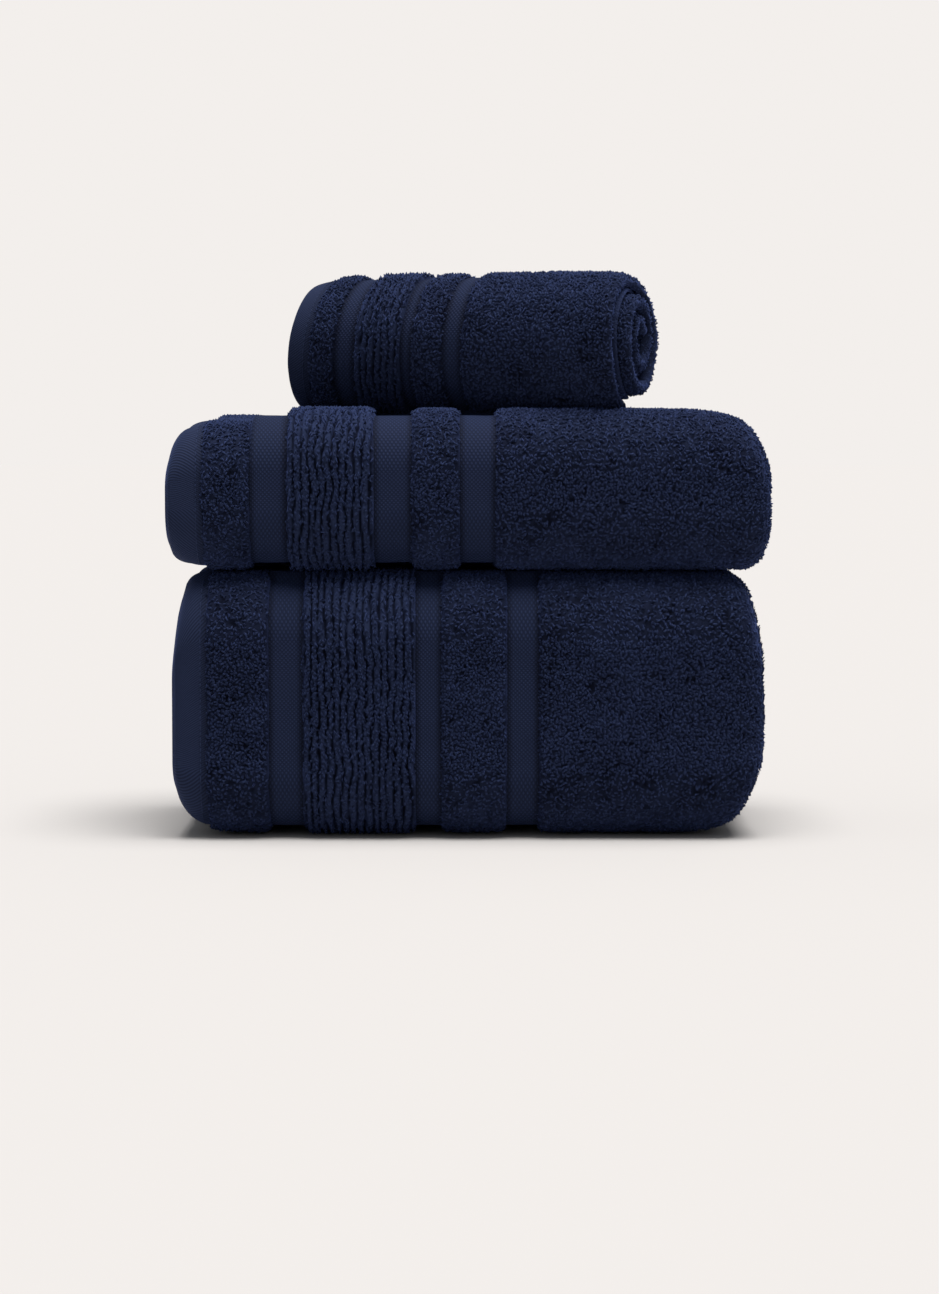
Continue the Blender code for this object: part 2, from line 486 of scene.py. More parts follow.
def guest_towel():
    """The length folded in three, one fold back over the other, and rolled across the width."""
    low, high = body_box("guest_towel")
    half = GUEST_LENGTH / 2 + 4 * MM
    layers = list(GUEST_LAYERS)
    mid = layer_middles(layers)
    first = (mid[1] - mid[0]) / 2
    second = (mid[2] - mid[1]) / 2
    right = half - first - layers[0] / 2
    left = -half + 6 * MM
    strip = turtle(
        (-half, mid[0]),
        0.0,
        [
            (None, right + half),
            (first, HALF_TURN),
            (None, right - left),
            (second, -HALF_TURN),
            (None, right - left + 5 * MM),
        ],
    )
    width = TOWELS["guest"]["flat"][0]
    section = path_of(*spiral(sum(layers), high[2] - low[2], width), side=1)
    return towel_of("guest", half, layers, strip, section, right + half, first)


def settle(towel, p):
    """Bends a folded towel as cloth sinks: its ends droop from above and lift from below.

    At a distance d from an end the top comes down by a * exp(-d / b) and the bottom goes up in
    the same way, both less and less towards the still level and towards the back. The hand
    towel's left shoulder comes down further. A slow noise moves it all a little.
    """
    rolled = towel["name"] == "guest"
    low = 0.0 if rolled else towel["low"][2]
    height = towel["high"][2] - towel["low"][2]
    middle = STILL_LEVEL * height
    above = np.clip((p[..., 2] - low - middle) / (height - middle), 0, 1.1)
    below = np.clip((low + middle - p[..., 2]) / middle, 0, 1.1)
    if not rolled:
        firm = 1 - 0.6 * smooth((p[..., 1] + 20 * MM) / (80 * MM))
        above = above * firm
        below = below * firm
    for end, side in (("left", -1), ("right", 1)):
        away = np.maximum(towel["half"] - side * p[..., 0], 0) / MM
        (up, up_reach), (down, down_reach) = towel["droops"][end]
        p[..., 2] -= above * down * MM * np.exp(-away / down_reach)
        p[..., 2] += below * min(up * MM, 0.8 * middle) * np.exp(-away / up_reach)
    if towel["name"] == "hand":
        from_left = (p[..., 0] + towel["half"]) / MM
        slope = smooth((SHOULDER_START - from_left) / SHOULDER_SLOPE)
        p[..., 2] -= above * SHOULDER_DROP * MM * slope
    sway = noise(p[..., 0] / SWAY_SIZE, (p[..., 2] + p[..., 1]) / SWAY_SIZE, 7) - 0.5
    p[..., 1] += SWAY * sway * np.minimum(1, above + below + 0.5)
    if towel["name"] == "bath":
        p[..., 2] = np.maximum(p[..., 2], 0)
    return p


def lay_on(towel, p):
    """Turns the roll, leans its bands and stands it on the towel below."""
    height = towel["high"][2] - towel["low"][2]
    up = (p[..., 2] - height / 2) / (height / 2)
    along = (p[..., 0] + towel["half"]) / (2 * towel["half"])
    x = p[..., 0] + GUEST_LEAN * up * (1 - along)
    turned = np.empty_like(p)
    cos = math.cos(GUEST_YAW)
    sin = math.sin(GUEST_YAW)
    turned[..., 0] = cos * x - sin * p[..., 1]
    turned[..., 1] = sin * x + cos * p[..., 1]
    turned[..., 2] = p[..., 2] + towel["low"][2] - GUEST_SINK * np.clip(-up, 0, 1)
    return turned


def place(towel, l, w, lift):
    """Points of the folded cloth in space.

    The strip path gives x and the depth under the outer face, the section path gives the line
    that the strip's middle follows in y and z, and half the strip's depth less the point's own
    depth carries it out from that line along the section's normal. The roll's core stands out.
    """
    at, out = follow(towel["strip"], l)
    line, up = follow(towel["section"], w)
    x = at[..., 0] + lift * out[..., 0]
    depth = at[..., 1] + lift * out[..., 1]
    off = towel["deep"] / 2 - depth
    p = np.empty(np.broadcast(l, w, lift).shape + (3,))
    if towel["name"] == "guest":
        turns_in = smooth((w - CORE_START) / CORE_SOFT)
        x = x + CORE_OUT * turns_in
        last_layer = smooth((at[..., 1] - 7 * MM) / (2 * MM))
        x = x - LAST_LAYER_BACK * turns_in * last_layer * smooth(at[..., 0] / towel["half"])
    p[..., 0] = x
    p[..., 1] = line[..., 0] + off * up[..., 0]
    p[..., 2] = line[..., 1] + off * up[..., 1]
    p = settle(towel, p)
    return lay_on(towel, p) if towel["name"] == "guest" else p


# ------------------------ meshes


def new_piece(towel, name, points, faces, uv, pile, material):
    """A piece of a towel, with its cloth coordinates as UV and its pile value stored, which sets
    its colour: mostly painted shade, with random tone.
    """
    mesh = bpy.data.meshes.new(name)
    mesh.vertices.add(len(points))
    mesh.vertices.foreach_set("co", np.ascontiguousarray(points, np.float32).ravel())
    corners = faces.shape[1]
    mesh.loops.add(faces.size)
    mesh.loops.foreach_set("vertex_index", faces.astype(np.int32).ravel())
    mesh.polygons.add(len(faces))
    mesh.polygons.foreach_set("loop_start", np.arange(0, faces.size, corners, dtype=np.int32))
    mesh.update(calc_edges=True)
    mesh.validate()
    layer = mesh.uv_layers.new(name="cloth")
    layer.data.foreach_set("uv", uv[faces.ravel()].astype(np.float32).ravel())
    height = mesh.attributes.new("pile", "FLOAT", "POINT")
    height.data.foreach_set("value", pile.astype(np.float32))
    mesh.polygons.foreach_set("use_smooth", np.full(len(faces), True))
    mesh.materials.append(material)
    obj = bpy.data.objects.new(name, mesh)
    bpy.context.scene.collection.objects.link(obj)
    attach(obj, towel["body"])
    return obj


def grid_faces(rows, columns):
    """Quads of a grid of rows by columns points, numbered row by row."""
    corner = (np.arange(rows - 1)[:, None] * columns + np.arange(columns - 1)).ravel()
    return np.stack([corner, corner + columns, corner + columns + 1, corner + 1], 1)


def tube_faces(count, rings, sides):
    """Quads of open tubes that are alike, each with its points numbered ring by ring."""
    ring, k = np.divmod(np.arange((rings - 1) * sides), sides)
    a = sides * ring + k
    b = sides * ring + (k + 1) % sides
    one = np.stack([a, b, b + sides, a + sides], 1)
    return (np.arange(count)[:, None, None] * rings * sides + one).reshape(-1, 4)


def look_of(points, face):
    """The direction in which a face looks."""
    a, b, c = points[face[:3]]
    return np.cross(b - a, c - a)


def outward(points, lifted, faces):
    """True if the middle face of a surface looks the way that the lift goes."""
    face = faces[len(faces) // 2]
    return float(look_of(points, face) @ (lifted[face[0]] - points[face[0]])) > 0


def tubes_outward(points, faces, two_rings):
    """The tubes' faces, turned round if the first one looks at the middle of its two rings."""
    away = points[faces[0]].mean(0) - points[:two_rings].mean(0)
    return faces[:, ::-1] if look_of(points, faces[0]) @ away < 0 else faces


def lattice(l, w):
    """Every pair of a place along and a place across, as two grids."""
    grid_l, grid_w = np.meshgrid(l, w, indexing="ij")
    return grid_l, grid_w


def cloth_uv(l, w):
    return np.stack([l.ravel(), w.ravel()], 1) * UV_PER_METRE


# ------------------------ relief


def edge_fall(distance, soft):
    """How far a pile has risen at a distance in from its edge: 1 - exp(-distance / soft)."""
    return 1 - np.exp(-np.maximum(distance, 0) / soft)


def terry_relief(towel, l, w, p, first, last, seed):
    """Looped pile: a ground of clumps and pits, round at the zone's two edges."""
    fine = curls(p, CURL_SIZE, seed)
    coarse = solid_noise(p, CLUMP_SIZE, seed + 5) - 0.5
    wander = 1.3 * MM * (noise(w / (5 * MM), l * 0, seed + 8) - 0.5)
    near = np.minimum(l - first + wander, last - l - wander)
    rise = np.maximum(edge_fall(near + 0.4 * MM, 1.5 * MM), pressed(towel, p))
    height = smooth(1.7 * fine - 0.25)
    deep = towel["pile"] + ROOT
    sunk = (1.0 * (1 - height) + 1.5 - 0.8 * coarse) * MM
    lift = -deep * (1 - rise) - sunk * rise
    # The second value is painted shade: darker in the pits, where the clumps sink, and towards the
    # zone's edges.
    return lift, (0.06 + 0.16 * height + 0.10 * coarse) * (0.4 + 0.6 * rise)


def ribbed_relief(towel, l, w, p, first, last, seed):
    """Pile in ribs that run across the towel, wavy, merging here and there, with deep gaps.

    A rib's height is (1 - cos(2 pi * phase)) / 2, where the phase is the distance along the cloth
    over the pitch, moved by a slow and a quick noise.
    """
    slow = noise(l / (13 * MM), w / (15 * MM), seed) - 0.5
    quick = noise(l / (4.3 * MM), w / (4.6 * MM), seed + 1) - 0.5
    phase = (l - first + 3.6 * MM * slow + 1.5 * MM * quick) / RIB_PITCH
    rib = 0.5 - 0.5 * np.cos(2 * math.pi * phase)
    knots = curls(p, RIB_CURL_SIZE, seed + 3)
    gap = smooth((0.46 - rib) / 0.40)
    broken = smooth((noise(l / (3 * MM), w / (5 * MM), seed + 6) - 0.66) / 0.2)
    gap = gap * (1 - 0.5 * broken)
    pit = smooth(1.15 - 1.5 * knots)
    near = np.minimum(l - first, last - l)
    flat = pressed(towel, p)
    rise = np.maximum(edge_fall(near + 0.4 * MM, 1.3 * MM), flat)
    down = 0.5 * MM + (3.0 * MM * gap + 1.0 * MM * pit) * (1 - 0.7 * flat)
    deep = towel["pile"] + ROOT
    # This height is also painted shade: darker in the gaps between the ribs, in the pits and
    # towards the edges.
    height = np.clip(0.76 - 0.72 * gap - 0.34 * pit, 0, 1)
    return -deep * (1 - rise) - down * rise, height * (0.35 + 0.65 * rise)


def pressed(towel, p):
    """Where another towel lies on this one, from 0 to 1: the flat bands are squeezed up to it.

    On the bath towel that is the top behind its front edge, on the hand towel a strip along the
    roll, and on the roll nothing.
    """
    top = smooth((p[..., 2] - towel["high"][2] + 12 * MM) / (5 * MM))
    if towel["name"] == "bath":
        return top * smooth((p[..., 1] - towel["low"][1] - 26 * MM) / (14 * MM))
    if towel["name"] == "hand":
        cos = math.cos(GUEST_YAW)
        sin = math.sin(GUEST_YAW)
        aside = np.abs(cos * p[..., 1] - sin * p[..., 0])
        along = np.abs(cos * p[..., 0] + sin * p[..., 1])
        under = smooth((20 * MM - aside) / (10 * MM)) * smooth((105 * MM - along) / (8 * MM))
        return top * under
    return 0 * top


def ground_under(towel):
    """How high the cloth reaches above its own middle under the fine surfaces."""
    return towel["layers"][0] / 2 - towel["pile"] - 1.3 * MM


def rim_depth(towel):
    """How far the middle of the hem's rounded rim lies under the layer's outer envelope."""
    layer = towel["layers"][0]
    return layer / 2 - (min(THIN_SHARE * layer, ground_under(towel)) - THIN_SHARE * layer) / 2


def flat_relief(towel, l, w, p, first, last, seed, rise):
    """Flat weave: the ground of the cloth, a little slack between the piles beside it.

    The rise lifts it off the ground. A zone that starts the cloth is rounded down to the rim.
    """
    slack = noise(l / (9 * MM), w / (16 * MM), seed) - 0.5
    down = towel["pile"] - rise + 0.5 * MM * slack
    squeezed = pressed(towel, p)
    down = down * (1 - squeezed) + 0.3 * MM * squeezed
    near = np.minimum(l - first, last - l)
    if first == 0:
        down = down + (rim_depth(towel) - down) * (1 - smooth(l / towel["rim"]))
        near = last - l
    # The second value is a painted shadow: darker along the band's edges beside the pile.
    return -down, 0.30 + 0.70 * smooth(near / BAND_SHADOW)


def relief_of(towel, zone, span, l, w, p):
    """The zone's lift and height, the height being painted shade for the colour; along the roll's
    free edge it comes down to the cloth's rim.
    """
    first, last = pile_span(towel, zone, span)
    seed = seed_of(towel, zone)
    kind = zone.split("_")[0]
    if kind == "terry":
        lift, height = terry_relief(towel, l, w, p, first, last, seed)
    elif kind == "ribbed":
        lift, height = ribbed_relief(towel, l, w, p, first, last, seed)
    else:
        rise = HEM_RISE if kind == "hem" else 0.0
        lift, height = flat_relief(towel, l, w, p, first, last, seed, rise)
    if towel["fine"][0] == 0:
        edge = 1 - smooth(w / (2 * MM))
        lift = lift * (1 - edge) - rim_depth(towel) * edge
    return lift, height


def pile_span(towel, zone, span):
    """Where the zone's pile falls away: the terry field and the fold after it are one pile."""
    if zone != FIELD:
        return span
    field_start = zone_spans(towel)[-1][1]
    return field_start, towel["wrap_end"] + 50 * MM


def seed_of(towel, zone):
    return SEEDS[towel["name"]] + ZONE_SEEDS[zone]


def zone_piece(towel, name, zone, span, cross, material):
    """One woven zone of the outermost layer as a fine surface, with its relief as the lift."""
    over = 0.8 * MM
    start = span[0] + 0.2 * MM if zone == "hem" else span[0] - over
    l = marks(towel["strip"], start, span[1] + over, RELIEF_STEP, RELIEF_STEP)
    if zone == "hem":
        l = np.unique(np.concatenate([l, start + np.array([0.3, 0.6, 0.9, 1.5]) * MM]))
    w = marks(towel["section"], cross[0], cross[1], RELIEF_STEP, RELIEF_STEP)
    grid_l, grid_w = lattice(l, w)
    envelope = towel["layers"][0] / 2
    base = place(towel, grid_l, grid_w, envelope)
    lift, height = relief_of(towel, zone, span, grid_l, grid_w, base)
    points = place(towel, grid_l, grid_w, envelope + lift).reshape(-1, 3)
    lifted = place(towel, grid_l, grid_w, envelope + lift + MM).reshape(-1, 3)
    faces = grid_faces(len(l), len(w))
    if not outward(points, lifted, faces):
        faces = faces[:, ::-1]
    uv = cloth_uv(grid_l, grid_w)
    return new_piece(towel, name, points, faces, uv, height.ravel(), material)


# ------------------------ loops


def unit(vectors):
    return vectors / np.linalg.norm(vectors, axis=1)[:, None]


def loop_feet(towel, zone, span, cross, density, side, rng):
    """Where single loops stand in the pile: l, w, foot, the ways out and along, and height.

    They stand in rows and columns, each a little out of place. Where the cloth's coordinates are
    squeezed together, loops are left out in proportion, and so are those low in the pile or past
    the cloth's edge. Side -1 puts them on the cloth's inner face.
    """
    pitch = 10 * MM / math.sqrt(density)
    rows = np.arange(span[0] + 0.5 * MM, span[1] - 0.4 * MM, pitch)
    columns = np.arange(cross[0], cross[1], pitch)
    grid_l, grid_w = lattice(rows, columns)
    count = grid_l.size
    l = grid_l.ravel() + rng.uniform(-0.45, 0.45, count) * pitch
    w = grid_w.ravel() + rng.uniform(-0.45, 0.45, count) * pitch
    chance = rng.uniform(0, 1, count)
    envelope = side * layer_under(towel, l) / 2
    if side > 0:
        base = place(towel, l, w, envelope)
        lift, height = relief_of(towel, zone, span, l, w, base)
        start, end = towel["fine"]
        fine = (w > start) & (w < end - 3 * MM) | (l > towel["face"])
        lift = np.where(fine, lift, 0.2 * MM)
        height = np.where(fine, height, 0.7)
    else:
        lift = np.full(count, 0.6 * MM)
        height = np.full(count, 0.8)
    foot_lift = envelope + lift - side * 0.4 * MM
    foot = place(towel, l, w, foot_lift)
    out = place(towel, l, w, envelope + lift + side * 0.6 * MM) - foot
    along = place(towel, l + 0.5 * MM, w, foot_lift) - foot
    across = place(towel, l, w + 0.5 * MM, foot_lift) - foot
    share = np.linalg.norm(np.cross(along, across), axis=1) / (0.5 * MM) ** 2
    keep = (chance < share) & (height > LOWEST_LOOP[zone.split("_")[0]]) & (w > 0)
    return [values[keep] for values in (l, w, foot, out, along, height)]


def loops_piece(towel, name, zone, span, cross, material, seed, density=LOOP_DENSITY, side=1):
    """Single loops of yarn standing in the pile.

    A loop is a three-sided tube along half an ellipse, c = foot - cos(a) * half_span * way +
    sin(a) * rise * lean for three angles a. Its way is turned at random, and it leans at random.
    """
    rng = np.random.default_rng(seed)
    l, w, foot, out, along, height = loop_feet(towel, zone, span, cross, density, side, rng)
    count = len(l)
    out = unit(out)
    along = unit(along - (along * out).sum(1)[:, None] * out)
    across = np.cross(out, along)
    turn = rng.uniform(0, 2 * math.pi, count)
    if zone.startswith("ribbed"):
        turn = 0.5 * math.pi + rng.normal(0, 0.5, count)
    way = np.cos(turn)[:, None] * along + np.sin(turn)[:, None] * across
    aside = np.cross(out, way)
    lean = out + 0.5 * rng.normal(0, 1, count)[:, None] * aside
    lean = unit(lean + 0.35 * rng.normal(0, 1, count)[:, None] * way)
    half_span = rng.uniform(*HALF_SPAN, count)[:, None] * MM
    rise = rng.uniform(*RISE, count)[:, None] * MM
    yarn = rng.uniform(*YARN, count)[:, None] * MM
    rings = []
    for angle in BOW:
        reach = -math.cos(angle) * way * half_span + math.sin(angle) * lean * rise
        radial = -math.cos(angle) * way + math.sin(angle) * lean
        for spin in ROUND_YARN:
            off = yarn * (math.sin(spin) * radial + math.cos(spin) * aside)
            rings.append(foot + reach + off)
    points = np.stack(rings, 1).reshape(-1, 3)
    points[:, 2] = np.maximum(points[:, 2], 0)
    faces = tube_faces(count, len(BOW), len(ROUND_YARN))
    faces = tubes_outward(points, faces, 2 * len(ROUND_YARN))
    # Painted shade: a loop is lit by its place in the pile, with random tone, and its feet down in
    # the pile are darker.
    lit = np.clip(0.56 + 0.90 * height + rng.uniform(-0.28, 0.28, count), 0, 1)
    shaded_feet = np.repeat([0.30, 1.0, 0.30], len(ROUND_YARN))
    pile = np.repeat(lit, LOOP_POINTS) * np.tile(shaded_feet, count)
    uv = np.repeat(cloth_uv(l, w), LOOP_POINTS, 0)
    return new_piece(towel, name, points, faces, uv, pile, material)


# ------------------------ cloth


def thin_part(towel, l, w):
    """How thin the cloth is, from 0 in terry to 1 at the hems, selvedges and both ends' bands."""
    length = towel["strip"]["length"]
    width = towel["section"]["length"]
    from_end = np.minimum(l, length - l)
    thin = np.zeros(np.broadcast(l, w).shape)
    soft = 2.5 * MM
    for zone, first, last in zone_spans(towel):
        if zone.split("_")[0] in ("hem", "dobby"):
            inside = np.minimum(from_end - first, last - from_end)
            thin = np.maximum(thin, smooth(0.5 + inside / soft))
    from_side = np.minimum(w, width - w)
    return np.maximum(thin, smooth((SELVEDGE - from_side) / soft))


def cloth_marks(towel):
    """Distances along and across the whole cloth, close together at its rims and on its turns."""
    found = []
    for path, turn_step, reach in (("strip", 1.6 * MM, 30), ("section", 3 * MM, 14)):
        length = towel[path]["length"]
        spread = marks(towel[path], 0, length, CLOTH_STEP, turn_step)
        near = np.concatenate([RIM_ROWS, np.arange(0, reach, 2)]) * MM
        every = np.concatenate([spread, near, length - near])
        found.append(np.unique(np.round(every, 5)))
    return found


def half_thicknesses(towel, l, w, thin, puff):
    """How far the cloth's two faces lie from its middle, the outer one and the inner one.

    Terry fills nearly all of its layer and the thin parts a share of it. Under the fine surfaces,
    and over the whole width on the folded end, the outer face is drawn in. Near the rim both faces
    close on the middle as a quarter circle does: 1 - (1 - d / rim)^2, square root, at a distance d.
    """
    width = towel["section"]["length"]
    layer = layer_under(towel, l)
    full = 0.47 * layer + 0.25 * MM * puff
    half = full * (1 - thin) + THIN_SHARE * layer * thin
    start, end = towel["fine"]
    within = smooth((end - w) / (6 * MM))
    if start > 0:
        within = smooth((w - start) / (6 * MM)) * within
    from_side = np.minimum(w, width - w)
    from_rim = np.minimum(from_side, np.minimum(l, towel["strip"]["length"] - l))
    on_fold = smooth((l - towel["face"]) / (3 * MM))
    within = within + (smooth((from_side - 3 * MM) / (4 * MM)) - within) * on_fold
    outermost = smooth((towel["wrap_end"] + 4 * MM - l) / (4 * MM))
    half = np.maximum(half, full * outermost * (1 - within))
    inner_half = np.where(l < towel["wrap_end"], np.maximum(half, 0.9 * full), half)
    under = outermost * within
    outer_half = half * (1 - under) + np.minimum(half, ground_under(towel)) * under
    round_rim = 0.12 + 0.88 * np.sqrt(1 - (1 - np.clip(from_rim / towel["rim"], 0, 1)) ** 2)
    centre = (outer_half - inner_half) / 2
    thick = np.maximum(outer_half + inner_half, 0) / 2 * round_rim
    return centre + thick, thick - centre


def cloth_piece(towel, material):
    """The whole cloth, folded, as one closed surface: its two faces and the rim between them.

    Each face is the cloth's place lifted by half the local thickness, one up and one down.
    """
    l, w = cloth_marks(towel)
    grid_l, grid_w = lattice(l, w)
    thin = thin_part(towel, grid_l, grid_w)
    puff = noise(grid_l / (26 * MM), grid_w / (26 * MM), 31) - 0.5
    outer_half, inner_half = half_thicknesses(towel, grid_l, grid_w, thin, puff)
    top = place(towel, grid_l, grid_w, outer_half)
    bottom = place(towel, grid_l, grid_w, -inner_half)
    rows = len(l)
    columns = len(w)
    count = rows * columns
    points = np.concatenate([top.reshape(-1, 3), bottom.reshape(-1, 3)])
    upper = grid_faces(rows, columns)
    lower = upper[:, ::-1]
    ring = np.concatenate(
        [
            np.arange(columns - 1),
            np.arange(rows - 1) * columns + columns - 1,
            (rows - 1) * columns + np.arange(columns - 1, 0, -1),
            np.arange(rows - 1, 0, -1) * columns,
        ]
    )
    after = np.roll(ring, -1)
    rim = np.stack([ring + count, after + count, after, ring], 1)
    lifted = place(towel, grid_l, grid_w, outer_half + MM).reshape(-1, 3)
    if not outward(points, lifted, upper):
        upper, lower, rim = lower, upper, rim[:, ::-1]
    faces = np.concatenate([upper, lower + count, rim])
    uv = np.tile(cloth_uv(grid_l, grid_w), (2, 1))
    shade = np.tile(0.62 + 0.25 * puff.ravel() + 0.12 * thin.ravel(), 2)
    return new_piece(towel, f"{towel['name']}_cloth", points, faces, uv, shade, material)


def layer_under(towel, l):
    """The thickness that a layer has where the strip path is at l."""
    middles = layer_middles(towel["layers"])
    depth = follow(towel["strip"], l)[0][..., 1]
    return np.interp(depth, middles, towel["layers"])


def stitches_piece(towel, cross, material):
    """The hem's row of lock stitches: short rounded bars end to end across the hem.

    A stitch is a six-sided tube along w, with its ends drawn in.
    """
    hem = towel["zones"][0] * MM
    count = int((cross[1] - cross[0]) / STITCH_PITCH)
    start = cross[0] + STITCH_PITCH * np.arange(count)
    fat = STITCH_RADII[None, :, None]
    spin = np.arange(STITCH_SIDES) * math.pi / 3
    w = start[:, None, None] + 0.86 * STITCH_PITCH * STITCH_RINGS[None, :, None] + 0 * spin
    l = hem - 3 * MM + fat * np.cos(spin)[None, None, :] + 0 * w
    sunk = towel["layers"][0] / 2 - towel["pile"] + HEM_RISE + 0.12 * MM
    lift = sunk + fat * np.sin(spin)[None, None, :] + 0 * w
    points = place(towel, l, w, lift).reshape(-1, 3)
    faces = tube_faces(count, len(STITCH_RINGS), STITCH_SIDES)
    faces = tubes_outward(points, faces, 2 * STITCH_SIDES)
    name = f"{towel['name']}_hem_stitches"
    height = np.full(len(points), 0.9)
    obj = new_piece(towel, name, points, faces, cloth_uv(l, w), height, material)
    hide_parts(f"{towel['body']}_hem_thread")
    return obj


# ------------------------ materials


def set_inputs(node, **inputs):
    """Sets a node's inputs, an underscore standing for a space in an input's name."""
    for name, value in inputs.items():
        node.inputs[name.replace("_", " ")].default_value = value
    return node


def node_of(tree, kind, **inputs):
    return set_inputs(tree.nodes.new(kind), **inputs)


def add_noise(tree, place_of, scale, detail, roughness):
    """A noise on the piece's own coordinates, from 0 to 1."""
    grain = node_of(tree, "ShaderNodeTexNoise", Scale=scale, Detail=detail, Roughness=roughness)
    tree.links.new(place_of.outputs["Object"], grain.inputs["Vector"])
    return grain.outputs["Fac"]


def add_math(tree, operation, first, second, clamp=False):
    result = tree.nodes.new("ShaderNodeMath")
    result.operation = operation
    result.use_clamp = clamp
    tree.links.new(first, result.inputs[0])
    tree.links.new(second, result.inputs[1])
    return result.outputs["Value"]


def add_bump(tree, shader, height, strength, distance):
    """A bump over whatever bump the shader has already."""
    bump = node_of(tree, "ShaderNodeBump", Strength=strength, Distance=distance)
    tree.links.new(height, bump.inputs["Height"])
    for link in shader.inputs["Normal"].links:
        tree.links.new(link.from_socket, bump.inputs["Normal"])
    tree.links.new(bump.outputs["Normal"], shader.inputs["Normal"])


def cotton(name, shade_colour, light, roughness, sheen, sheen_tint):
    """A Principled cotton whose colour goes from its shade colour to its light colour with the
    stored pile value, a painted shade.
    """
    material = bpy.data.materials.new(name)
    material.use_nodes = True
    tree = material.node_tree
    shader = set_inputs(
        tree.nodes["Principled BSDF"],
        Roughness=roughness,
        Specular_IOR_Level=0.08,
        Sheen_Weight=sheen,
        Sheen_Roughness=0.45,
        Sheen_Tint=(*sheen_tint, 1),
    )
    # The stored pile value is painted shade: low values take the shade colour.
    height = tree.nodes.new("ShaderNodeAttribute")
    height.attribute_name = "pile"
    place_of = tree.nodes.new("ShaderNodeTexCoord")
    patches = add_noise(tree, place_of, 38.0, 3.0, 0.6)
    sway = node_of(
        tree, "ShaderNodeMapRange", From_Min=0.3, From_Max=0.7, To_Min=-0.10, To_Max=0.10
    )
    tree.links.new(patches, sway.inputs["Value"])
    total = add_math(tree, "ADD", height.outputs["Fac"], sway.outputs["Result"], clamp=True)
    ramp = tree.nodes.new("ShaderNodeValToRGB")
    ramp.color_ramp.elements[0].color = (*shade_colour, 1)
    ramp.color_ramp.elements[1].color = (*light, 1)
    tree.links.new(total, ramp.inputs["Fac"])
    tree.links.new(ramp.outputs["Color"], shader.inputs["Base Color"])
    return material, tree, shader, place_of


def yarn_bump(tree, shader, place_of, scale, strength, distance):
    """Fine fibres: a noise as a bump."""
    fibres = add_noise(tree, place_of, scale, 4.0, 0.7)
    add_bump(tree, shader, fibres, strength, distance)


def terry_cotton(name, light):
    """The yarn of the loops and of the ground they stand in, lightest at the top of the pile with
    painted shade below.
    """
    material, tree, shader, place_of = cotton(name, PILE_PAINTED_SHADE, light, 0.95, 0.32, PILE_SHEEN)
    yarn_bump(tree, shader, place_of, 900.0, 0.55, 0.0006)
    return material


def inside_cotton(name):
    """The terry of the inner folds: its clumps are in the bump, two sizes of noise."""
    light = (0.0220, 0.0320, 0.0780)
    material, tree, shader, place_of = cotton(name, PILE_PAINTED_SHADE, light, 0.95, 0.32, PILE_SHEEN)
    yarn_bump(tree, shader, place_of, 1100.0, 0.5, 0.0006)
    clumps = add_noise(tree, place_of, 420.0, 2.0, 0.6)
    add_bump(tree, shader, clumps, 0.9, 0.0018)
    return material


def wave_on_cloth(tree, turn, pitch):
    """A sine across the cloth's own coordinates, turned by an angle, from 0 to 1.

    The wave node's own pitch is 2 pi / (20 * scale).
    """
    where = tree.nodes.new("ShaderNodeUVMap")
    where.uv_map = "cloth"
    mapping = node_of(tree, "ShaderNodeMapping", Rotation=(0, 0, turn))
    scale = 2 * math.pi / (20 * pitch * UV_PER_METRE)
    wave = node_of(tree, "ShaderNodeTexWave", Scale=scale, Distortion=0.0)
    wave.bands_direction = "X"
    tree.links.new(where.outputs["UV"], mapping.inputs["Vector"])
    tree.links.new(mapping.outputs["Vector"], wave.inputs["Vector"])
    return wave.outputs["Fac"]


def woven_cotton(name, shade_colour, light, pitch, turns, strength):
    """Flat cotton: crossing sines on the cloth's own coordinates as weave, with a soft sheen."""
    material, tree, shader, place_of = cotton(name, shade_colour, light, 0.78, 0.12, FLAT_SHEEN)
    waves = [wave_on_cloth(tree, turn, pitch) for turn in turns]
    height = waves[0]
    for other in waves[1:]:
        height = add_math(tree, "MULTIPLY", height, other)
    yarn_bump(tree, shader, place_of, 1500.0, 0.25, 0.0003)
    add_bump(tree, shader, height, strength, 0.0005)
    ramp = shader.inputs["Base Color"].links[0].from_node
    lighten = tree.nodes.new("ShaderNodeMix")
    lighten.data_type = "RGBA"
    lighten.blend_type = "MULTIPLY"
    lighten.inputs["Factor"].default_value = 0.9
    shade = node_of(tree, "ShaderNodeMapRange", To_Min=0.55, To_Max=1.35)
    tree.links.new(height, shade.inputs["Value"])
    tree.links.new(ramp.outputs["Color"], lighten.inputs["A"])
    tree.links.new(shade.outputs["Result"], lighten.inputs["B"])
    tree.links.new(lighten.outputs["Result"], shader.inputs["Base Color"])
    return material


def thread_cotton():
    """Sewing thread, nearly the hem's colour."""
    shade_colour = (0.010, 0.015, 0.036)
    light = (0.019, 0.028, 0.067)
    name = "sewing_thread"
    material, tree, shader, place_of = cotton(name, shade_colour, light, 0.6, 0.12, FLAT_SHEEN)
    yarn_bump(tree, shader, place_of, 2600.0, 0.4, 0.0002)
    return material


# ------------------------ stage


